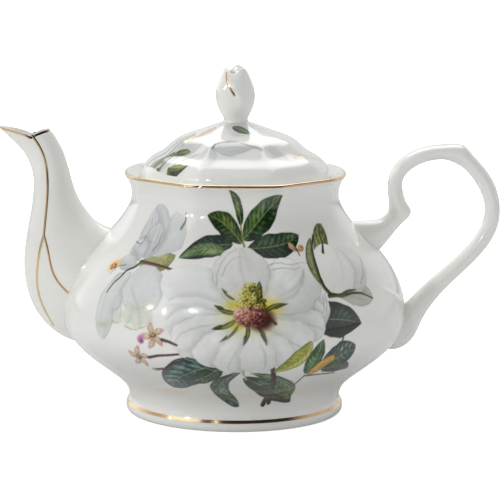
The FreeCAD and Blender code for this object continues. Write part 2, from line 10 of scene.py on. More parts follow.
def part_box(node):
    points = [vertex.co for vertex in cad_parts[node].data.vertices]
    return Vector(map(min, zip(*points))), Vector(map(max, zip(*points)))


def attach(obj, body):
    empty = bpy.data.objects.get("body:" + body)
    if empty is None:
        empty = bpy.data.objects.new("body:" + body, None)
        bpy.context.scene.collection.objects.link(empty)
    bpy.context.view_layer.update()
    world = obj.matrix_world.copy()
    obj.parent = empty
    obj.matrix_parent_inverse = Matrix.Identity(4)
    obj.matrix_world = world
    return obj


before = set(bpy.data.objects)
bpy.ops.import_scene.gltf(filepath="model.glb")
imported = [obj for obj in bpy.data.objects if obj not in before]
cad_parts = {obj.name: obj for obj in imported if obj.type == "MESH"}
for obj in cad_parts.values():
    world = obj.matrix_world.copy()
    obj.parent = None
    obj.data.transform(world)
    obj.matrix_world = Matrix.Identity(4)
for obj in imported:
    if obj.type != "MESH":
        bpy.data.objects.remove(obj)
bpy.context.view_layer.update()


def middle(node):
    """The centre of a CAD node's box."""
    low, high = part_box(node)
    return (Vector(low) + Vector(high)) * 0.5


AXIS_X = middle("foot_gilding").x            # the pot's own axis
MM = 0.001
SCREEN_CHINA = np.array([226.0, 227.0, 222.0])   # how bare china looks on a screen, 0-255
WHOLE_TURN = 2 * math.pi
ANY_PHASE = 6.3                              # a random phase is drawn from 0 to this
SPINE_POINTS = 28

# ============================================================ painter
# A canvas holds the print: where it is (u across, v up, mm) and how it tints the china (1 = bare china).


class Canvas:
    def __init__(self, u, v, seed):
        self.u, self.v = u, v
        self.tint = np.ones(u.shape + (3,))
        self.cover = np.zeros(u.shape)
        self.rng = np.random.default_rng(seed)
        self.origin = (0.0, 0.0)
        self.grain = cloud(self.rng, u, v, 3.0)
        self.blotch = cloud(self.rng, u, v, 11.0)

    def window(self, low, high, margin):
        """Slices of the canvas round a box, which keep each stroke's work small."""
        keep_u = np.where((self.u[0] >= low[0] - margin) & (self.u[0] <= high[0] + margin))[0]
        keep_v = np.where((self.v[:, 0] >= low[1] - margin) & (self.v[:, 0] <= high[1] + margin))[0]
        if not len(keep_u) or not len(keep_v):
            return None
        return slice(keep_v[0], keep_v[-1] + 1), slice(keep_u[0], keep_u[-1] + 1)

    def lay(self, where, mask, colour):
        """Lays paint over what is there; mask is its strength at each point."""
        mask = np.clip(mask, 0.0, 1.0)
        self.tint[where] = self.tint[where] * (1.0 - mask[..., None]) + colour * mask[..., None]
        self.cover[where] = np.maximum(self.cover[where], mask)

    def wash(self, where, mask, colour):
        """Glazes over what is there, like thin watercolour."""
        mask = np.clip(mask, 0.0, 1.0)
        self.tint[where] *= 1.0 - mask[..., None] * (1.0 - np.asarray(colour))
        self.cover[where] = np.maximum(self.cover[where], mask)


def cloud(rng, u, v, scale):
    """Smooth noise from -1 to 1 over the canvas, with features about this many mm across."""
    total = np.zeros(u.shape)
    for octave in range(3):
        size = scale / 2 ** octave
        for _ in range(4):
            a = rng.uniform(0, WHOLE_TURN)
            k = WHOLE_TURN / (size * rng.uniform(0.8, 1.6))
            warp = np.sin((u * math.sin(a) - v * math.cos(a)) * k * 0.6 + rng.uniform(0, ANY_PHASE))
            ahead = (u * math.cos(a) + v * math.sin(a)) * k
            total += np.sin(ahead + warp * 1.4 + rng.uniform(0, ANY_PHASE)) / 2 ** octave
    return total / 5.0


def smooth(low, high, x):
    """0 at low, 1 at high, with soft ends."""
    t = np.clip((x - low) / (high - low), 0.0, 1.0)
    return t * t * (3.0 - 2.0 * t)


def rgb(*values):
    """A print colour from 0-255 screen values, as a tint of the china it is seen on."""
    return np.array(values, float) / SCREEN_CHINA


def mix(a, b, t):
    """From a to b as t goes from 0 to 1, for colours."""
    t = np.asarray(t)[..., None]
    return np.asarray(a) * (1.0 - t) + np.asarray(b) * t


def spine(base, tip, bend):
    """A gently bent line from base to tip; bend is its bow to the left, as a share of its length."""
    base, tip = np.array(base, float), np.array(tip, float)
    along = tip - base
    bow = np.array([-along[1], along[0]]) * bend
    t = np.linspace(0.0, 1.0, SPINE_POINTS)[:, None]
    return base + along * t + bow * (4.0 * t * (1.0 - t))


def along_spine(canvas, points, reach):
    """Where the window is, and at each of its points: share along the spine, and signed distance from it."""
    low, high = points.min(0), points.max(0)
    where = canvas.window(low, high, reach)
    if where is None:
        return None
    u, v = canvas.u[where], canvas.v[where]
    best = np.full(u.shape, 1e9)
    share = np.zeros(u.shape)
    side = np.zeros(u.shape)
    count = len(points) - 1
    for k in range(count):
        (ax, ay), (bx, by) = points[k], points[k + 1]
        dx, dy = bx - ax, by - ay
        length2 = dx * dx + dy * dy
        t = np.clip(((u - ax) * dx + (v - ay) * dy) / length2, 0.0, 1.0)
        ex, ey = u - ax - dx * t, v - ay - dy * t
        distance = np.hypot(ex, ey)
        nearer = distance < best
        best = np.where(nearer, distance, best)
        share = np.where(nearer, (k + t) / count, share)
        side = np.where(nearer, np.sign(dx * ey - dy * ex), side)
    return where, share, best * side


def place(canvas, point):
    """A point measured from the canvas's present origin."""
    return (point[0] + canvas.origin[0], point[1] + canvas.origin[1])


def petal(canvas, base, tip, width, bend=0.0, tone=(230, 232, 228), shade=(176, 181, 177), fold=0.0,
          full=0.62, blunt=0.55, outline=0.3, strength=1.0, ruffle=0.035, creases=1, soft=0.3):
    """One petal: a shallow dish lit from the upper left, with creases, fine streaks and a thin outline.

    fold is how deep a fold runs along it, to the left or the right; full is where it is widest, as a
    share of its length; blunt is how round its ends are (less is rounder); ruffle is how uneven its edge
    is, and soft how blurred.
    """
    base, tip = place(canvas, base), place(canvas, tip)
    found = along_spine(canvas, spine(base, tip, bend), width * 0.85)
    if found is None:
        return
    where, share, off = found
    rng = canvas.rng
    turns = rng.uniform(0, ANY_PHASE, 6)
    peak = math.log(0.5) / math.log(full)
    body = np.sin(math.pi * np.clip(share, 0, 1) ** peak) ** blunt
    wave = (np.sin(share * 9.0 + turns[0]) + 0.7 * np.sin(share * 21.0 + turns[1])
            + 0.45 * np.sin(share * 43.0 + turns[2]))
    half = np.maximum(width * 0.5 * body * (1.0 + ruffle * wave), 1e-3)
    t = off / half
    edge = half - np.abs(off)
    mask = smooth(-soft, soft, edge)
    # shade: how the dish faces the light, then streaks, the fold and the creases
    ahead = np.array(tip) - np.array(base)
    ahead = ahead / np.hypot(*ahead)
    slope_u = -ahead[1] * t * 0.8 + ahead[0] * (share - 0.5)
    slope_v = ahead[0] * t * 0.8 + ahead[1] * (share - 0.5)
    lit = slope_v * 0.8 - slope_u * 0.5
    streaks = np.sin(t * 13.0 + turns[3] + share * 2.0) * 0.5 + np.sin(t * 31.0 + turns[4]) * 0.5
    dark = 0.26 + 0.30 * (1.0 - share) ** 1.8 + 0.20 * np.abs(t) ** 6 - 0.30 * lit
    dark = (dark + 0.05 * streaks * (1.0 - share * 0.4)
            + 0.14 * canvas.blotch[where] + 0.06 * canvas.grain[where])
    dark = dark + 0.80 * abs(fold) * np.exp(-((t - np.sign(fold) * 0.35) / 0.20) ** 2) * (0.4 + share)
    for _ in range(creases):
        at = rng.uniform(-0.65, 0.65) + 0.14 * np.sin(share * 4.0 + rng.uniform(0, ANY_PHASE))
        run = smooth(0.25, 0.55, share) * smooth(1.02, 0.86, share)
        dark = dark + rng.uniform(0.2, 0.45) * np.exp(-((t - at) / 0.06) ** 2) * run
    colour = mix(rgb(*tone), rgb(*shade), np.clip(dark, 0.0, 1.0))
    colour = mix(colour, rgb(240, 241, 239), np.clip(-dark + 0.08, 0.0, 0.5) * 1.4)
    line = outline * np.exp(-((edge - 0.1) / 0.36) ** 2) * (0.6 + 0.4 * np.sin(share * 17.0 + turns[1]))
    colour = mix(colour, rgb(108, 116, 112), np.clip(line, 0.0, 1.0))
    # a soft shadow on what is already painted below
    shadow = 0.17 * smooth(-3.6, 0.2, edge) * (edge < 0.3) * canvas.cover[where]
    canvas.wash(where, shadow * smooth(0.02, 0.2, share), rgb(128, 136, 134))
    canvas.lay(where, mask * strength, colour)


def leaf(canvas, base, tip, width, bend=0.0, dark=(40, 62, 44), mid=(70, 98, 62), light=(134, 148, 84),
         full=0.45, veins=9, turned=0.0, split=0.0):
    """One leaf with a midrib and side veins.

    full is where it is widest, as a share of its length; turned lightens one half, as where the blade
    curls over; split makes one half lighter than the other.
    """
    base, tip = place(canvas, base), place(canvas, tip)
    found = along_spine(canvas, spine(base, tip, bend), width * 0.75)
    if found is None:
        return
    where, share, off = found
    turns = canvas.rng.uniform(0, ANY_PHASE, 3)
    rise, fall = 1.5 * full, 1.5 * (1.0 - full)
    s = np.clip(share, 0.001, 0.999)
    body = (s / full) ** rise * ((1.0 - s) / (1.0 - full)) ** fall
    half_of = np.sign(off)
    waves = (0.02 * np.sin(share * 26.0 + turns[0] + half_of)
             + 0.045 * np.sin(share * 11.0 + turns[2] * half_of))
    half = np.maximum(width * 0.5 * body * (1.0 + waves), 1e-3)
    t = off / half
    edge = half - np.abs(off)
    mask = smooth(-0.3, 0.3, edge)
    blotch, grain = canvas.blotch[where], canvas.grain[where]
    phase = share * veins - np.abs(t) * 1.5 + turns[1] + 0.22 * blotch + 0.10 * grain
    vein = np.exp(-((phase - np.round(phase)) / 0.10) ** 2) * (1.0 - np.abs(t) ** 2)
    vein = vein * np.clip(0.55 + 0.8 * grain + 0.5 * blotch, 0.05, 1.0)
    ripple = np.cos((phase - np.floor(phase)) * 2 * math.pi)        # light and dark between the side veins
    level = 0.52 + 0.20 * ripple + 0.46 * blotch + 0.34 * grain
    hatch = np.sin(phase * 2 * math.pi * 3.0 + 2.0 * grain)
    level = level + split * half_of * 0.5 - 0.25 * np.abs(t) ** 4 + 0.10 * hatch
    colour = mix(rgb(*dark), rgb(*mid), np.clip(level, 0.0, 1.0))
    curl = smooth(0.1, 0.5, t * np.sign(turned)) * abs(turned) if turned else np.zeros(t.shape)
    sheen = np.exp(-((t * np.sign(split + 0.01) - 0.42) / 0.26) ** 2)
    sheen = sheen * np.clip(0.38 + 0.24 * ripple + 0.7 * blotch, 0.0, 1.0)
    sheen = sheen * smooth(0.05, 0.3, share) * 0.85
    colour = mix(colour, rgb(*light), np.clip(curl + 0.42 * vein + sheen, 0.0, 1.0) * 0.8)
    rib = np.exp(-(off / 0.30) ** 2) * smooth(1.0, 0.75, share)
    colour = mix(colour, rgb(150, 164, 104), rib * 0.65)
    colour = mix(colour, rgb(20, 32, 24), np.exp(-((edge - 0.1) / 0.40) ** 2) * 0.35)
    canvas.lay(where, mask, colour)


def stroke(canvas, points, wide, thin, colour, deep=None, strength=1.0):
    """A tapering brush stroke through a few points; deep is its colour along one side."""
    knots = np.array([place(canvas, p) for p in points], float)
    t = np.linspace(0, len(knots) - 1, 8 * len(knots))
    fine = np.column_stack([np.interp(t, range(len(knots)), knots[:, i]) for i in (0, 1)])
    for _ in range(3):
        fine[1:-1] = (fine[:-2] + 2 * fine[1:-1] + fine[2:]) / 4.0
    found = along_spine(canvas, fine, max(wide, thin) + 0.6)
    if found is None:
        return
    where, share, off = found
    half = (wide + (thin - wide) * share) * 0.5
    mask = smooth(-0.28, 0.28, half - np.abs(off)) * strength
    paint = rgb(*colour) * (1.0 + 0.18 * canvas.grain[where])[..., None]
    if deep is not None:
        paint = mix(paint, rgb(*deep), smooth(-0.3, 0.6, off / np.maximum(half, 0.2)))
    canvas.lay(where, mask, paint)


def bloom(canvas, centre, across, up, colour, strength, soft, turn=0.0):
    """A soft spot of colour."""
    cx, cy = place(canvas, centre)
    where = canvas.window((cx, cy), (cx, cy), max(across, up) * 1.6)
    if where is None:
        return
    a = math.radians(turn)
    u, v = canvas.u[where] - cx, canvas.v[where] - cy
    x, y = u * math.cos(a) + v * math.sin(a), v * math.cos(a) - u * math.sin(a)
    r = np.hypot(x / across, y / up)
    canvas.lay(where, strength * smooth(1.0 + soft * 0.5, 1.0 - soft, r), rgb(*colour) + 0 * r[..., None])


def stipple(canvas, centre, across, up, count, size, colours, lean):
    """Dots packed in an oval, darker colours to its lower right."""
    rng = canvas.rng
    for _ in range(count):
        a, r = rng.uniform(0, WHOLE_TURN), math.sqrt(rng.uniform(0, 1))
        x, y = r * math.cos(a), r * math.sin(a)
        dark = np.clip(0.5 + 0.45 * (x - y) * lean + rng.normal(0, 0.28), 0, 0.999)
        colour = colours[int(dark * len(colours))]
        spot = (centre[0] + x * across, centre[1] + y * up)
        bloom(canvas, spot, size * rng.uniform(0.7, 1.3), size * rng.uniform(0.7, 1.3), colour, 0.9, 0.6)


GREEN_GLOSS = dict(dark=(12, 26, 18), mid=(48, 74, 46), light=(116, 140, 92))
GREEN_BLUE = dict(dark=(14, 36, 34), mid=(72, 108, 98), light=(158, 186, 172))
GREEN_WARM = dict(dark=(16, 36, 18), mid=(68, 98, 52), light=(154, 168, 108))


def heart(canvas):
    """The middle of a magnolia: yellow glow, stamens, receptacle and cone."""
    # yellow glow at the petals' feet
    bloom(canvas, (0.5, 1.0), 13.5, 10.5, (210, 200, 104), 0.72, 0.9)
    bloom(canvas, (8.6, 3.6), 6.0, 3.8, (212, 192, 66), 0.85, 0.85)
    bloom(canvas, (-6.0, -4.8), 3.6, 2.8, (190, 186, 62), 0.8, 0.8)
    bloom(canvas, (-7.4, 4.4), 3.4, 2.6, (196, 180, 70), 0.7, 0.8)
    rays = [                                        # (base, tip, width, share of it that is dark, colour)
        ((-5.6, 0.8), (-15.6, 4.4), 2.2, 0.45, (122, 124, 52)),
        ((-6.2, -2.4), (-16.2, -6.6), 2.2, 0.45, (134, 132, 56)),
        ((-5.0, -4.6), (-12.8, -12.4), 1.1, 0.4, (128, 122, 84)),
        ((-6.4, 7.0), (-12.6, 12.6), 1.1, 0.4, (132, 130, 92)),
        ((-1.2, -4.4), (-2.9, -14.0), 1.9, 0.5, (112, 82, 44)),
        ((2.6, -5.2), (7.0, -14.2), 1.5, 0.6, (96, 92, 40)),
        ((6.0, 1.0), (17.0, 4.8), 2.1, 0.6, (138, 126, 42)),
        ((6.2, -1.6), (11.6, -4.8), 1.8, 0.3, (170, 164, 60)),
    ]
    for base, tip, wide, dark, colour in rays:
        base, tip = np.array(base), np.array(tip)
        leaf(canvas, base, tip, wide, 0.10, dark=(70, 74, 34), mid=colour, light=(168, 168, 96), full=0.35,
             veins=1)
        leaf(canvas, tip + (base - tip) * dark, tip, wide * 0.7, 0.06, dark=(22, 28, 20), mid=(34, 42, 26),
             light=(60, 70, 44), full=0.4, veins=1)
    leaf(canvas, (4.6, 5.5), (5.4, 16.2), 3.4, 0.04, dark=(36, 44, 20), mid=(92, 98, 34), veins=3)
    # the round receptacle in reds, over its own shadow, and the cone in yellows above it
    bloom(canvas, (4.6, -2.0), 6.6, 5.8, (58, 26, 24), 0.95, 0.5)
    bloom(canvas, (0.0, -0.6), 7.0, 5.4, (140, 82, 72), 0.95, 0.35)
    reds = [(222, 184, 168), (200, 154, 138), (172, 120, 106), (132, 82, 72), (88, 46, 42), (50, 24, 24)]
    stipple(canvas, (-0.2, -0.4), 6.8, 5.0, 260, 0.50, reds, 1.0)
    golds = [(206, 196, 88), (186, 176, 60), (160, 152, 44), (118, 116, 34), (72, 72, 26), (40, 38, 18)]
    for level in range(7):
        wide = 7.0 - level * 0.55
        stipple(canvas, (0.8, 4.6 + level * 1.55), wide, 1.5, 50, 0.46, golds, 0.6)
    stipple(canvas, (6.0, 5.0), 1.6, 3.2, 26, 0.55, golds[3:], 0.8)


PALE = dict(tone=(231, 233, 229), shade=(198, 203, 198))


def magnolia(canvas):
    """The open flower in the middle of the spray."""
    canvas.origin = (7.0, 74.0)
    faded = dict(tone=(226, 228, 225), shade=(204, 209, 206), outline=0.08, soft=0.7, creases=0)
    petal(canvas, (-5, 3), (-43, 15.5), 23, -0.08, fold=0.06, full=0.60, **faded)
    petal(canvas, (-5, 1), (-38, 3), 16, 0.06, fold=-0.4, **faded)
    petal(canvas, (-4, -1), (-36, -5), 17, 0.05, fold=0.25, full=0.66, outline=0.22, soft=0.5, creases=1,
          **PALE)
    petal(canvas, (5, 1), (37.5, 4), 22, -0.04, fold=0.2, full=0.68, ruffle=0.05)
    petal(canvas, (5, 0), (35, -2), 19, 0.02, fold=-0.2, full=0.68, ruffle=0.05)
    petal(canvas, (5, -2), (33, -10), 18, 0.06, fold=0.15, full=0.68, ruffle=0.06)
    petal(canvas, (-3, -3), (-31.5, -17), 20, -0.06, fold=0.15, full=0.66, blunt=0.48, ruffle=0.05,
          outline=0.35)
    petal(canvas, (4, -4), (24, -19.5), 20, 0.06, fold=-0.15, full=0.66, blunt=0.48, ruffle=0.05, outline=0.2)
    petal(canvas, (5, 3.5), (30.5, 23.5), 29, -0.04, fold=0.08, full=0.66, blunt=0.34, ruffle=0.04,
          outline=0.45, creases=2)
    petal(canvas, (0, 4), (-5, 35), 29, 0.02, fold=-0.25, full=0.57, blunt=0.34, outline=0.45, creases=1,
          tone=(224, 225, 221))
    petal(canvas, (3, -5), (13.5, -25), 16, 0.04, full=0.70, blunt=0.48, ruffle=0.05, outline=0.25)
    petal(canvas, (-2, -4), (-19.5, -25), 18, -0.05, fold=0.1, full=0.68, blunt=0.46, ruffle=0.05,
          outline=0.35)
    petal(canvas, (-1, -5), (-9, -29.5), 17, -0.03, full=0.70, blunt=0.46, ruffle=0.05, outline=0.25,
          creases=2)
    petal(canvas, (1, -5), (4, -29.5), 17, 0.02, full=0.70, blunt=0.46, ruffle=0.05, outline=0.3, creases=2)
    ruffles = [
        [(-31, -18.6), (-27, -21.6), (-24.6, -22.4), (-21.6, -26.6)],
        [(-19, -26.8), (-15.6, -28.6), (-12.6, -28.2), (-9.6, -31.2), (-6, -31.0), (-3.6, -29.6)],
        [(1, -30.4), (4.4, -31.4), (8, -29.8), (10.4, -27.4), (14, -27.0)],
        [(-15.4, 14), (-15.8, 20), (-14.2, 26), (-10.4, 31.4), (-5.4, 34.2)],
        [(12, 25.5), (17, 26.2), (23, 24.6), (29, 25.6), (35, 24.0)],
        [(13, 22.5), (18, 23.4), (24, 22.0), (28, 22.8)],
        [(37, 8), (36.4, 2), (34.0, -4), (32, -9)],
        [(35.4, 6), (34.6, 1), (32.6, -3)],
        [(-13, 19), (-11.6, 24), (-8.6, 28), (-4, 30)],
    ]
    for line in ruffles:
        stroke(canvas, line, 0.8, 0.4, (134, 141, 137), (196, 200, 196), 0.6)
    heart(canvas)
    canvas.origin = (0.0, 0.0)
    leaf(canvas, (33.5, 61.0), (18.0, 44.5), 7.6, 0.08, dark=(96, 104, 30), mid=(164, 166, 62),
         light=(214, 208, 120), turned=0.7)


def greenery_behind(canvas):
    """Leaves and stems that the open flower lies over."""
    leaf(canvas, (4.2, 120), (-3.9, 138), 5.6, -0.12, veins=5, **GREEN_WARM)
    leaf(canvas, (4.5, 111), (-19, 125), 11.5, -0.10, split=-0.4, dark=(22, 40, 24), mid=(66, 92, 44),
         light=(150, 150, 70))
    leaf(canvas, (5.5, 113), (33.6, 134.4), 14, 0.02, split=0.5, **GREEN_WARM)
    leaf(canvas, (8.0, 108.5), (43.2, 114.4), 13.5, -0.05, split=0.4, **GREEN_GLOSS)
    leaf(canvas, (-1.0, 110.5), (-30.6, 102.4), 12.5, -0.08, dark=(16, 28, 24), mid=(50, 72, 56),
         light=(110, 132, 104))
    leaf(canvas, (-4.0, 105.0), (-30.6, 102.0), 7.5, -0.16, dark=(64, 90, 56), mid=(112, 140, 88),
         light=(164, 184, 132))
    stroke(canvas, [(7.5, 104), (5.4, 112), (4.2, 121)], 1.5, 0.8, (150, 148, 84), (92, 96, 50))
    leaf(canvas, (35, 70), (61.5, 65.5), 17, 0.05, full=0.42, split=0.15, dark=(8, 18, 15), mid=(26, 44, 35),
         light=(84, 106, 90))
    leaf(canvas, (40, 45), (58, 56), 16, -0.02, full=0.55, **GREEN_BLUE)
    leaf(canvas, (43, 43), (62, 40), 8.5, 0.10, **GREEN_GLOSS)
    leaf(canvas, (35.5, 41), (39.6, 61), 8.4, 0.06, dark=(20, 50, 30), mid=(66, 104, 62),
         light=(150, 184, 120))
    leaf(canvas, (37.0, 39.5), (49.5, 52.5), 6.4, 0.10, dark=(170, 120, 26), mid=(220, 170, 50),
         light=(232, 200, 110), veins=3)
    for twig in ([(35, 39.6), (44, 39.0), (55, 37.8)], [(30.5, 24.5), (33, 32), (34.8, 40)],
                 [(47.4, 52.0), (49.6, 57.4), (50.8, 62)], [(48, 51), (51.6, 54.2), (55, 57.4)]):
        stroke(canvas, twig, 1.3, 0.8, (64, 58, 40))
    leaf(canvas, (1, 50), (-34.5, 27.5), 19, -0.14, full=0.58, split=-0.2, **GREEN_BLUE)
    leaf(canvas, (-6, 49), (-24, 35), 10, 0.10, **GREEN_GLOSS)
    leaf(canvas, (5.0, 46), (3.4, 13.4), 10.0, -0.36, full=0.62, split=0.4, veins=6, dark=(36, 54, 46),
         mid=(86, 108, 92), light=(150, 164, 142))
    leaf(canvas, (5.0, 41), (39.2, 14.6), 14, -0.03, full=0.46, split=0.4, dark=(8, 22, 14), mid=(54, 86, 58),
         light=(140, 166, 122))
    leaf(canvas, (8.0, 44.0), (37.0, 20), 7.0, 0.10, full=0.55, dark=(40, 66, 44), mid=(88, 120, 82),
         light=(156, 176, 132))
    stroke(canvas, [(16.6, 51), (19.0, 41), (20.8, 32), (21.0, 22), (19.6, 14.4)], 2.0, 3.2, (70, 52, 36),
           (26, 14, 14))
    stroke(canvas, [(20.6, 27), (22.4, 20), (23.2, 15.4)], 1.4, 3.0, (60, 42, 38), (30, 18, 18))
    stroke(canvas, [(3.5, 47), (4.6, 42), (6.4, 38)], 2.4, 0.8, (206, 212, 190), (150, 164, 130))


def side_flower(canvas):
    """The flower seen from the side, towards the spout."""
    sky = dict(tone=(212, 214, 213), shade=(160, 166, 167), outline=0.38, soft=0.4)
    pale = dict(tone=(217, 221, 218), shade=(180, 187, 184), outline=0.36, soft=0.4)
    leaf(canvas, (-54, 97), (-33, 103.5), 13, -0.10, dark=(126, 128, 76), mid=(168, 170, 112),
         light=(200, 200, 144))
    leaf(canvas, (-50, 95), (-38, 87), 11, 0.06, dark=(120, 128, 78), mid=(158, 166, 108),
         light=(190, 196, 136))
    petal(canvas, (-48, 101), (-33.0, 120), 22, 0.10, fold=0.15, full=0.62, creases=0, blunt=0.42,
          outline=0.06, soft=0.9, tone=(209, 213, 211), shade=(180, 187, 185))
    petal(canvas, (-52, 99), (-66, 125), 21, -0.10, fold=-0.3, full=0.58, creases=4, blunt=0.42, **sky)
    petal(canvas, (-51, 101), (-57, 119), 13, 0.05, fold=0.2, full=0.55, creases=4, **sky)
    petal(canvas, (-56, 97), (-67, 107), 11, -0.12, fold=0.25, **sky)
    petal(canvas, (-55, 95), (-68, 98), 9, 0.08, fold=0.2, **sky)
    petal(canvas, (-56.5, 91), (-66, 84), 8, 0.10, fold=0.3, **sky)
    petal(canvas, (-57.5, 91), (-64, 57), 14, -0.04, fold=0.2, full=0.46, creases=2, **pale)
    petal(canvas, (-52, 95), (-41.5, 72), 24, 0.06, fold=-0.12, full=0.56, creases=1, blunt=0.42, **pale)
    bloom(canvas, (-63.5, 64), 5.0, 1.7, (166, 176, 128), 0.5, 0.9, 8)
    bloom(canvas, (-41, 75), 4.6, 4.2, (190, 198, 158), 0.5, 0.9)
    frill = dict(tone=(214, 217, 208), shade=(186, 193, 170), outline=0.20, soft=0.6, strength=0.7,
                 ruffle=0.12)
    for base, tip, wide in (((-54.5, 74), (-57.5, 66.8), 5.2), ((-51, 76), (-49.6, 66.4), 6.4),
                            ((-47.5, 74), (-43.0, 64.6), 7.0), ((-44.0, 74), (-37.2, 67.6), 6.4)):
        petal(canvas, base, tip, wide, 0.1, fold=0.3, **frill)
    for line in ([(-58, 66.4), (-55, 66.0), (-52.6, 67.2)], [(-50.2, 65.4), (-46.4, 64.2), (-43.4, 64.6)],
                 [(-42, 65.4), (-39.4, 66.4), (-36.4, 67.6)]):
        stroke(canvas, line, 0.9, 0.5, (150, 160, 104), (190, 196, 150), 0.6)
    stroke(canvas, [(-54, 97.2), (-46, 96.8), (-38, 96.4), (-26, 94.2)], 2.0, 1.2, (112, 66, 44),
           (46, 24, 20))
    stroke(canvas, [(-53.5, 97), (-56, 93.6), (-60, 91.4), (-61.5, 87.6), (-64, 84.4), (-66, 79)], 1.6, 0.6,
           (64, 70, 54))
    for k in range(6):
        across = -64.2 + 1.7 * k
        stroke(canvas, [(across, 111.5 - 0.5 * k), (across + 0.7, 108 - 0.4 * k), (across + 1.8, 104.5)],
               0.5, 0.2, (140, 147, 150), None, 0.6)
    for line in ([(-62.4, 111), (-61.6, 108.4), (-62.6, 105)], [(-67, 107.6), (-64, 106.6), (-61.6, 107.4)],
                 [(-50.6, 104), (-49.4, 109), (-51.0, 114)], [(-63, 94), (-67.5, 92.8), (-69.6, 88)]):
        stroke(canvas, line, 0.9, 0.3, (96, 104, 94), None, 0.7)
    bloom(canvas, (-70.2, 93.0), 4.2, 2.9, (232, 182, 96), 0.9, 0.6, 55)
    stipple(canvas, (-70.6, 92.2), 2.2, 1.7, 22, 0.5, [(206, 130, 60), (150, 74, 38), (92, 44, 26)], 0.6)
    stroke(canvas, [(-36, 118), (-34, 121.6), (-35, 125.6)], 2.0, 0.6, (96, 104, 92), None, 0.8)


def bud_spray(canvas):
    """The half-open bud towards the handle."""
    faint = dict(tone=(220, 221, 217), shade=(196, 199, 194), outline=0.14, soft=0.7, creases=1)
    petal(canvas, (49, 81), (72, 76), 13, 0.08, fold=0.35, strength=0.85, outline=0.5, tone=(196, 200, 188),
          shade=(140, 148, 128))
    petal(canvas, (46, 82), (75, 92), 20, 0.04, fold=0.2, strength=0.75, **faint)
    petal(canvas, (45, 83), (78, 103), 20, -0.06, fold=0.15, strength=0.6, **faint)
    leaf(canvas, (43, 86), (66.5, 118), 10, 0.04, full=0.66, dark=(70, 80, 44), mid=(132, 142, 88),
         light=(184, 190, 140), veins=5)
    petal(canvas, (44.5, 82.5), (64, 106), 25, -0.04, fold=-0.08, full=0.56, blunt=0.42, outline=0.3,
          creases=1, tone=(234, 235, 230), shade=(208, 211, 205), soft=0.5)
    leaf(canvas, (44.0, 86), (52.0, 112), 6.0, 0.16, dark=(84, 92, 60), mid=(140, 148, 104),
         light=(190, 194, 150), veins=4)
    stroke(canvas, [(55, 113), (49, 107), (45.4, 99), (44.0, 91), (44.6, 85), (47, 81.2)], 1.2, 2.2,
           (78, 80, 44), (38, 36, 22))
    stroke(canvas, [(47, 81.2), (53, 79.6), (60, 80.2), (66, 79.4), (72, 76.0)], 2.0, 0.7, (70, 68, 40),
           (44, 38, 24))
    stroke(canvas, [(46, 80.4), (53, 80.0), (58, 81.6), (63, 81.4)], 1.9, 0.7, (76, 76, 40), (40, 36, 20))
    stroke(canvas, [(55, 103), (59, 108), (61, 114)], 1.6, 0.6, (52, 60, 34))
    stroke(canvas, [(68, 84), (73, 88), (79, 97)], 0.9, 0.5, (150, 156, 140), None, 0.6)


def blossoms(canvas):
    """Two small pink blossoms, their twigs, and a tiny winged seed."""
    for x, y, turn in ((-34.8, 62.6, 0.6), (-43.5, 50.9, 0.2)):
        for k in range(5):
            a = turn + k * WHOLE_TURN / 5
            tip = (x + 5.2 * math.cos(a), y + 5.6 * math.sin(a))
            petal(canvas, (x, y), tip, 3.0, 0.1, tone=(222, 206, 166), shade=(176, 132, 104), outline=0.9,
                  creases=1)
            bloom(canvas, tip, 1.0, 1.0, (196, 104, 132), 0.6, 0.9)
        stipple(canvas, (x, y), 1.7, 1.7, 22, 0.42, [(176, 130, 50), (120, 60, 50), (60, 34, 30)], 0.3)
    bloom(canvas, (-41.2, 60.4), 2.0, 2.3, (176, 92, 140), 0.85, 0.5)
    bloom(canvas, (-40.8, 59.6), 1.1, 1.2, (92, 40, 70), 0.7, 0.8)
    for twig in ([(-30.5, 61.4), (-27.4, 60.8), (-24, 59.4)], [(-38, 51.6), (-33, 53.4), (-23.5, 55)],
                 [(-36, 44.2), (-31, 45.4), (-27, 49), (-21.6, 51.4)]):
        stroke(canvas, twig, 1.6, 1.0, (92, 56, 60), (40, 22, 28))
    bloom(canvas, (-37.0, 43.8), 2.2, 1.1, (110, 124, 70), 0.85, 0.7)
    petal(canvas, (37.5, 106.0), (33.6, 111.0), 3.8, 0.1, tone=(206, 176, 130), shade=(130, 80, 50),
          outline=0.9)
    petal(canvas, (37.8, 106.0), (42.2, 108.8), 3.6, -0.1, tone=(220, 184, 110), shade=(150, 96, 60),
          outline=0.9)
    bloom(canvas, (41.8, 107.8), 1.2, 1.0, (176, 84, 84), 0.8, 0.8)
    stroke(canvas, [(37.4, 107.4), (37.7, 103.2)], 1.1, 0.5, (60, 40, 30))


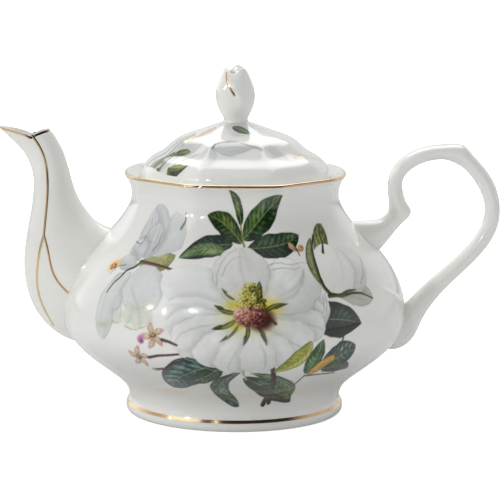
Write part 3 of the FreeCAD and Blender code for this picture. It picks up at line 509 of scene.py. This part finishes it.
def lid_spray(canvas):
    """The spray on the lid, in plan: across towards the handle, up away from the front."""
    grey = dict(tone=(214, 216, 216), shade=(182, 187, 188), outline=0.14, soft=0.7, creases=1)
    bloom(canvas, (-33, -30), 7.5, 5.0, (208, 215, 200), 0.75, 0.9)
    bloom(canvas, (-36, -20), 6.0, 8.0, (206, 213, 198), 0.65, 0.9)
    petal(canvas, (-24, -12), (-43, -12), 13, 0.05, fold=0.3, **grey)
    petal(canvas, (-24, -10), (-40, -1), 12, -0.05, fold=-0.3, **grey)
    petal(canvas, (-24, -14), (-39, -22), 11, 0.05, fold=0.3, **grey)
    for line in ([(-24, -9), (-33, -11.5), (-42.6, -10)], [(-25, -13), (-34, -17), (-42, -17.5)],
                 [(-26, -17), (-34, -23), (-38.6, -27)]):
        stroke(canvas, line, 0.8, 2.0, (72, 86, 62), (150, 160, 130), 0.85)
    leaf(canvas, (-27, -17), (-42.5, -20), 3.6, 0.05, dark=(60, 72, 44), mid=(120, 128, 84),
         light=(176, 180, 124))
    petal(canvas, (-29, -16), (-15, -20), 8.0, -0.1, fold=0.2, tone=(208, 212, 209), shade=(174, 180, 177),
          outline=0.3, soft=0.6)
    leaf(canvas, (-29.0, -18.6), (-21.0, -22.4), 3.4, 0.05, dark=(40, 56, 30), mid=(112, 130, 62),
         light=(184, 192, 104))
    leaf(canvas, (-31, -27.4), (-21.8, -32.0), 5.8, -0.12, full=0.36, turned=0.8, dark=(20, 36, 18),
         mid=(66, 90, 40), light=(184, 194, 96))
    stroke(canvas, [(-36.6, -23.4), (-38.6, -25.4), (-39.6, -28.0)], 2.0, 1.0, (52, 60, 46), (96, 104, 80))
    stroke(canvas, [(-31, -27), (-31.6, -31), (-30, -35.5)], 1.2, 0.6, (84, 96, 56))
    stroke(canvas, [(-28.5, -26), (-23, -25.2), (-17, -26.8)], 0.6, 0.4, (120, 128, 100), None, 0.7)
    leaf(canvas, (-19, -7), (-28, -11), 5.0, 0.05, dark=(168, 178, 134), mid=(196, 202, 164),
         light=(214, 216, 186))
    stroke(canvas, [(-10.5, -7.6), (-15.5, -10.6), (-21.5, -14.4)], 2.6, 3.4, (228, 204, 174),
           (204, 168, 128))
    petal(canvas, (-13.5, -26.5), (-12.5, -37), 9.0, 0.0, fold=0.3, full=0.35, tone=(217, 220, 217),
          shade=(191, 196, 193), outline=0.1, soft=0.8)
    petal(canvas, (9.4, -27.6), (-10.6, -27.0), 8.4, 0.0, fold=-0.4, outline=0.3, blunt=0.7, soft=0.5,
          tone=(206, 208, 206), shade=(176, 181, 180))
    stroke(canvas, [(-10.6, -27.6), (-9.4, -25.4), (-6, -24.4), (-2.6, -24.2)], 1.2, 0.5, (64, 72, 62), None,
           0.85)
    stroke(canvas, [(3, -25.2), (7, -26.6), (12, -27.4)], 0.8, 1.8, (110, 118, 112), (150, 156, 150), 0.8)
    petal(canvas, (26.6, -24.0), (13.4, -25.0), 5.0, -0.05, fold=0.3, outline=0.10, blunt=0.7, soft=0.8,
          strength=0.75, tone=(206, 209, 208), shade=(186, 190, 190))
    petal(canvas, (3.4, -5.6), (-1.0, -19.0), 14.0, 0.05, fold=0.2, full=0.3, outline=0.12, soft=0.9,
          tone=(212, 216, 215), shade=(190, 197, 196))
    leaf(canvas, (-1.0, -9.6), (7.2, -16.0), 5.6, -0.05, split=0.3, dark=(40, 56, 34), mid=(84, 108, 62),
         light=(140, 158, 116))
    stroke(canvas, [(28, -20.4), (34, -13.5), (40, -4)], 1.6, 2.2, (236, 220, 192), (216, 190, 150), 0.7)


def back_spray(canvas):
    """The spray on the other side of the pot: the open flower and its leaves."""
    greenery_behind(canvas)
    magnolia(canvas)


def front_spray(canvas):
    """The whole spray: the open flower, its two neighbours, leaves and blossoms."""
    greenery_behind(canvas)
    side_flower(canvas)
    magnolia(canvas)
    bud_spray(canvas)
    blossoms(canvas)


# ============================================================ materials


def to_linear(values):
    """Screen values 0-1 to the linear values that shaders use."""
    values = np.asarray(values, float)
    return np.where(values <= 0.04045, values / 12.92, ((values + 0.055) / 1.055) ** 2.4)


CHINA = np.array([0.905, 0.903, 0.872])      # the china's own colour, linear
SEEN_CHINA = SCREEN_CHINA / 255.0
BRIGHTEST_TINT = 1.08


def print_albedo(tint):
    """The colour of printed china, from the canvas's tint."""
    return CHINA * to_linear(np.clip(tint, 0.0, BRIGHTEST_TINT) * SEEN_CHINA) / to_linear(SEEN_CHINA)


def tree_of(name):
    """A new material with its node tree and its one shader."""
    material = bpy.data.materials.new(name)
    material.use_nodes = True
    tree = material.node_tree
    tree.nodes.clear()
    out = tree.nodes.new("ShaderNodeOutputMaterial")
    shader = tree.nodes.new("ShaderNodeBsdfPrincipled")
    tree.links.new(shader.outputs[0], out.inputs[0])
    return material, tree, shader


def node(tree, kind, inputs=None, **settings):
    """A new node; each input is a value or the socket that feeds it."""
    made = tree.nodes.new("ShaderNode" + kind)
    for key, value in settings.items():
        setattr(made, key, value)
    for key, value in (inputs or {}).items():
        if isinstance(value, bpy.types.NodeSocket):
            tree.links.new(value, made.inputs[key])
        else:
            made.inputs[key].default_value = value
    return made


def noise(tree, scale, detail=3.0):
    """Noise 0-1 in the object's own space, with features of about 1/scale m."""
    where = node(tree, "TexCoord").outputs["Object"]
    return node(tree, "TexNoise",
                {"Vector": where, "Scale": scale, "Detail": detail, "Roughness": 0.5}).outputs[0]


def spread(tree, value, low, high):
    """Maps 0-1 to low-high."""
    return node(tree, "MapRange", {"Value": value, "To Min": low, "To Max": high}).outputs[0]


def glaze(tree, shader):
    """Clear, slightly uneven glaze over the china."""
    tree.links.new(spread(tree, noise(tree, 60.0), 0.10, 0.17), shader.inputs["Roughness"])
    shader.inputs["IOR"].default_value = 1.50
    shader.inputs["Coat Weight"].default_value = 0.8
    shader.inputs["Coat Roughness"].default_value = 0.03
    shader.inputs["Coat IOR"].default_value = 1.5
    ripple = node(tree, "Bump", {"Strength": 0.06, "Distance": 0.0006, "Height": noise(tree, 30.0, 2.0)})
    orange_peel = node(tree, "Bump", {"Strength": 0.05, "Distance": 0.00008, "Height": noise(tree, 900.0, 2.0),
                                      "Normal": ripple.outputs[0]})
    tree.links.new(orange_peel.outputs[0], shader.inputs["Normal"])
    tree.links.new(ripple.outputs[0], shader.inputs["Coat Normal"])


def china(name, warm):
    """White bone china, slightly uneven in tone as fired china is; warm takes a little blue out of it."""
    material, tree, shader = tree_of(name)
    low = [CHINA[0] * 0.985, CHINA[1] * 0.983, CHINA[2] * (0.972 - warm), 1.0]
    high = [CHINA[0] * 1.01, CHINA[1] * 1.01, CHINA[2] * (1.012 - warm), 1.0]
    tone = node(tree, "Mix", {0: noise(tree, 22.0, 4.0), 6: low, 7: high}, data_type="RGBA")
    tree.links.new(tone.outputs[2], shader.inputs["Base Color"])
    glaze(tree, shader)
    return material


def printed(name):
    """Printed china: the print's own colour with a fine litho grain, under the same glaze."""
    material, tree, shader = tree_of(name)
    paint = node(tree, "Attribute", attribute_name="print").outputs["Color"]
    grain = spread(tree, noise(tree, 2600.0, 2.0), 0.975, 1.025)
    tone = node(tree, "VectorMath", {0: paint, "Scale": grain}, operation="SCALE")
    tree.links.new(tone.outputs[0], shader.inputs["Base Color"])
    glaze(tree, shader)
    return material


def gold(name):
    """Burnished gilding, brushed on by hand: a near mirror whose tone and polish vary along the line."""
    material, tree, shader = tree_of(name)
    tone = node(tree, "Mix",
                {0: noise(tree, 90.0, 4.0), 6: (0.72, 0.46, 0.24, 1.0), 7: (0.97, 0.77, 0.48, 1.0)},
                data_type="RGBA")
    tree.links.new(tone.outputs[2], shader.inputs["Base Color"])
    shader.inputs["Metallic"].default_value = 1.0
    tree.links.new(spread(tree, noise(tree, 240.0), 0.05, 0.16), shader.inputs["Roughness"])
    bump = node(tree, "Bump", {"Strength": 0.08, "Distance": 0.0001, "Height": noise(tree, 500.0)})
    tree.links.new(bump.outputs[0], shader.inputs["Normal"])
    return material


def dress(name, material):
    """Gives a CAD node its material."""
    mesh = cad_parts[name].data
    mesh.materials.clear()
    mesh.materials.append(material)
    mesh.polygons.foreach_set("use_smooth", [True] * len(mesh.polygons))


# ============================================================ the print's films
WALL_RADIUS = 75.0                           # mm; the print's across measure is azimuth times this
WALL_TOP, WALL_STEP = 115.0, 0.5             # mm; how high the wall is followed, and in what steps
LID_PRINT_RADIUS = 43.2                      # mm
FILM_LIFT = 0.00007                          # m; the print stands this far off the CAD's flat faces
WALL_ROUNDS, LID_ROUNDS = 14, 6              # how often the steps between flat faces are evened out
LEAST_COVER = 0.02                           # china with less paint than this gets no film


def search_tree(name):
    """A tree for finding points on a CAD node's surface."""
    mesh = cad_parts[name].data
    return BVHTree.FromPolygons([v.co.copy() for v in mesh.vertices],
                                [tuple(p.vertices) for p in mesh.polygons])


def soften(field, rounds):
    """Evens out the steps between a CAD mesh's flat faces."""
    for _ in range(rounds):
        padded = np.pad(field, 1, mode="edge")
        field = (padded[:-2, 1:-1] + padded[2:, 1:-1] + padded[1:-1, :-2] + padded[1:-1, 2:]
                 + 4 * field) / 8.0
    return field


def film(name, points, canvas, material, body):
    """The printed film: a fine mesh on the glaze wherever the canvas is painted."""
    rows, columns = canvas.cover.shape
    painted = canvas.cover > LEAST_COVER
    face = painted[:-1, :-1] | painted[1:, :-1] | painted[:-1, 1:] | painted[1:, 1:]
    used = np.zeros((rows, columns), bool)
    for dr in (0, 1):
        for dc in (0, 1):
            used[dr:rows - 1 + dr, dc:columns - 1 + dc] |= face
    number = np.full((rows, columns), -1)
    number[used] = np.arange(used.sum())
    r, c = np.nonzero(face)
    quads = np.column_stack([number[r, c], number[r, c + 1], number[r + 1, c + 1], number[r + 1, c]])
    mesh = bpy.data.meshes.new(name)
    mesh.from_pydata(points[used].tolist(), [], quads.tolist())
    colours = np.ones((int(used.sum()), 4))
    colours[:, :3] = print_albedo(canvas.tint[used])
    attribute = mesh.attributes.new("print", "FLOAT_COLOR", "POINT")
    attribute.data.foreach_set("color", colours.ravel())
    mesh.polygons.foreach_set("use_smooth", [True] * len(mesh.polygons))
    mesh.materials.append(material)
    piece = bpy.data.objects.new(name, mesh)
    bpy.context.scene.collection.objects.link(piece)
    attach(piece, body)


POT_TREE = search_tree("pot_body")


def wall_radius(azimuth, height):
    """The pot's outer radius at an azimuth from the front and a height, in metres."""
    outward = Vector((math.sin(azimuth), -math.cos(azimuth), 0.0))
    start = Vector((AXIS_X, 0.0, height)) + outward * 0.2
    hit = POT_TREE.ray_cast(start, -outward)[0]
    return (hit - Vector((AXIS_X, 0.0, height))).length


def wall_climb():
    """Height against distance climbed along the wall at the front, both in mm."""
    heights = np.arange(WALL_STEP, WALL_TOP, WALL_STEP)
    radii = np.array([wall_radius(0.0, h * MM) / MM for h in heights])
    climb = np.concatenate([[0.0], np.cumsum(np.hypot(np.diff(radii), np.diff(heights)))])
    return climb, heights


def wall_points(canvas, turned):
    """Where the canvas's points lie on the pot's wall."""
    climb, heights = wall_climb()
    z = np.interp(canvas.v[:, 0], climb, heights) * MM
    azimuth = canvas.u[0] / WALL_RADIUS + turned
    radii = soften(np.array([[wall_radius(a, h) for a in azimuth] for h in z]), WALL_ROUNDS) + FILM_LIFT
    x = AXIS_X + radii * np.sin(azimuth)
    y = -radii * np.cos(azimuth)
    return np.stack([x, y, np.broadcast_to(z[:, None], radii.shape)], axis=-1)


def lid_points(canvas):
    """Where the canvas's points lie on the lid, seen from above."""
    tree = search_tree("lid_dome")
    down = Vector((0.0, 0.0, -1.0))
    heights = np.zeros(canvas.u.shape)
    for (row, column), across in np.ndenumerate(canvas.u):
        start = Vector((AXIS_X + across * MM, canvas.v[row, column] * MM, 0.3))
        hit = tree.ray_cast(start, down)[0]
        heights[row, column] = hit.z if hit else 0.0
    on_lid = np.hypot(canvas.u, canvas.v) < LID_PRINT_RADIUS
    canvas.cover[~on_lid] = 0.0
    heights = soften(heights, LID_ROUNDS)
    step = (canvas.u[0, 1] - canvas.u[0, 0]) * MM
    climb_v, climb_u = np.gradient(heights, step)
    steep = np.sqrt(1.0 + climb_u ** 2 + climb_v ** 2)
    lift = FILM_LIFT / steep
    x = AXIS_X + canvas.u * MM - climb_u * lift
    y = canvas.v * MM - climb_v * lift
    return np.stack([x, y, heights + lift], axis=-1)


def sheet_of(low, high, step, seed):
    """A bare canvas from low to high, both (u, v) in mm."""
    u, v = np.meshgrid(np.arange(low[0], high[0], step), np.arange(low[1], high[1], step))
    return Canvas(u, v, seed)


# ============================================================ the pieces
GOLD = gold("burnished_gilding")
PRINT = printed("printed_china")
for part, warm in (("pot_body", 0.0), ("spout", 0.004), ("handle", 0.004), ("lid_dome", 0.0),
                   ("bud_knob", 0.004)):
    dress(part, china("glazed_" + part, warm))
for part in ("rim_gilding", "foot_gilding", "spout_lip_gilding", "spout_line_near", "spout_line_far",
             "bud_gilding"):
    dress(part, GOLD)

front = sheet_of((-92.0, 10.0), (94.0, 141.0), 0.4, 7)
front_spray(front)
film("front_print", wall_points(front, 0.0), front, PRINT, "pot")
back = sheet_of((-50.0, 10.0), (66.0, 141.0), 0.55, 11)
back_spray(back)
film("back_print", wall_points(back, math.pi), back, PRINT, "pot")
lid_sheet = sheet_of((-44.4, -42.0), (44.4, 4.0), 0.3, 5)
lid_spray(lid_sheet)
film("lid_print", lid_points(lid_sheet), lid_sheet, PRINT, "lid")

# ============================================================ camera
CAMERA_AT = Vector((AXIS_X + 0.0072, -1.25, 0.290))
LOOKS_AT = Vector((AXIS_X + 0.0072, 0.0, 0.0775))
ROLL = math.radians(0.35)
camera_data = bpy.data.cameras.new("camera")
camera_data.sensor_width = 36.0
camera_data.lens = 190.0
camera_data.clip_end = 20.0
camera = bpy.data.objects.new("camera", camera_data)
camera.location = CAMERA_AT
facing = (LOOKS_AT - CAMERA_AT).to_track_quat("-Z", "Y")
camera.rotation_mode = "QUATERNION"
camera.rotation_quaternion = facing @ Euler((0.0, 0.0, ROLL)).to_quaternion()
bpy.context.scene.collection.objects.link(camera)
bpy.context.scene.camera = camera

# ============================================================ light and floor
bpy.context.scene.view_settings.view_transform = "Standard"


def soft_light(name, at, towards, width, height, power, shape="RECTANGLE"):
    """An area light at a place, facing another; sizes in m, power in W."""
    data = bpy.data.lights.new(name, "AREA")
    data.shape = shape
    data.size, data.size_y = width, height
    data.energy = power
    light = bpy.data.objects.new(name, data)
    light.location = at
    light.rotation_euler = (Vector(towards) - Vector(at)).to_track_quat("-Z", "Y").to_euler()
    bpy.context.scene.collection.objects.link(light)
    return light


HEART = Vector((AXIS_X, 0.0, 0.08))
SHEET = Vector((AXIS_X + 0.03, 0.66, 1.05))
soft_light("ceiling_sheet", SHEET, (SHEET.x, SHEET.y, 0.0), 1.20, 1.10, 8.0)
soft_light("key_box", HEART + Vector((-1.25, -0.85, 0.95)), HEART, 0.9, 0.9, 1.9)
for fill in (soft_light("front_fill", HEART + Vector((0.5, -1.5, 0.10)), HEART, 1.8, 1.2, 7.8),
             soft_light("side_fill", HEART + Vector((1.4, -0.35, 0.05)), HEART, 1.2, 1.0, 2.8)):
    fill.visible_glossy = False
# three small lamps, for the highlights on the glaze
LAMP_AWAY = 1.3                              # m from the pot
LAMP_POWER = 900.0                           # W for each square metre
LAMPS = [                                    # (azimuth and height in degrees, width and height in m)
    (-19.5, 30.5, 0.022, 0.055),
    (-52.5, 23.5, 0.040, 0.055),
    (-73.5, 22.0, 0.020, 0.055),
]
for index, (azimuth, above, wide, tall) in enumerate(LAMPS):
    turn, lift = math.radians(azimuth), math.radians(above)
    towards = Vector((math.sin(turn) * math.cos(lift), -math.cos(turn) * math.cos(lift), math.sin(lift)))
    soft_light(f"lamp_{index}", HEART + towards * LAMP_AWAY, HEART, wide, tall, LAMP_POWER * wide * tall,
               "ELLIPSE")

world = bpy.data.worlds.new("studio")
bpy.context.scene.world = world
world.use_nodes = True
sky = world.node_tree
sky.nodes.clear()


def ramp(value, start, end, low, high):
    """Maps start-end to low-high, with soft ends."""
    return node(sky, "MapRange",
                {"Value": value, "From Min": start, "From Max": end, "To Min": low, "To Max": high},
                interpolation_type="SMOOTHSTEP").outputs[0]


def total(*values):
    """The sum of several sockets."""
    result = values[0]
    for value in values[1:]:
        result = node(sky, "Math", {0: result, 1: value}, operation="ADD").outputs[0]
    return result


# a room that is dark in front and grows light to both sides, behind and overhead
direction = node(sky, "SeparateXYZ", {0: node(sky, "TexCoord").outputs["Generated"]})
sideways, inwards, upwards = (direction.outputs[axis] for axis in "XYZ")
level = total(ramp(sideways, -0.2, -0.9, 0.03, 0.60), ramp(sideways, 0.75, 1.0, 0.0, 0.66),
              ramp(inwards, 0.15, 0.8, 0.0, 0.72), ramp(upwards, 0.72, 1.0, 0.0, 0.30))
background = node(sky, "Background", {"Color": (1.0, 1.0, 1.0, 1.0), "Strength": level})
sky_out = sky.nodes.new("ShaderNodeOutputWorld")
sky.links.new(background.outputs[0], sky_out.inputs[0])

FLOOR_Z = -0.0003                            # just clear of the foot, so that the two faces don't fight
FLOOR_HALF = 8.0
floor_corners = [(x * FLOOR_HALF, y * FLOOR_HALF, FLOOR_Z) for x, y in ((-1, -1), (1, -1), (1, 1), (-1, 1))]
floor_mesh = bpy.data.meshes.new("floor")
floor_mesh.from_pydata(floor_corners, [], [(0, 1, 2, 3)])
floor = bpy.data.objects.new("floor", floor_mesh)
bpy.context.scene.collection.objects.link(floor)
floor_material, floor_tree, floor_shader = tree_of("pale_floor")
floor_shader.inputs["Base Color"].default_value = (0.72, 0.72, 0.72, 1.0)
floor_shader.inputs["Roughness"].default_value = 0.7
floor_shader.inputs["Emission Color"].default_value = (1.0, 1.0, 1.0, 1.0)
seen = node(floor_tree, "LightPath").outputs["Is Camera Ray"]
floor_tree.links.new(spread(floor_tree, seen, 0.0, 0.80), floor_shader.inputs["Emission Strength"])
floor_mesh.materials.append(floor_material)
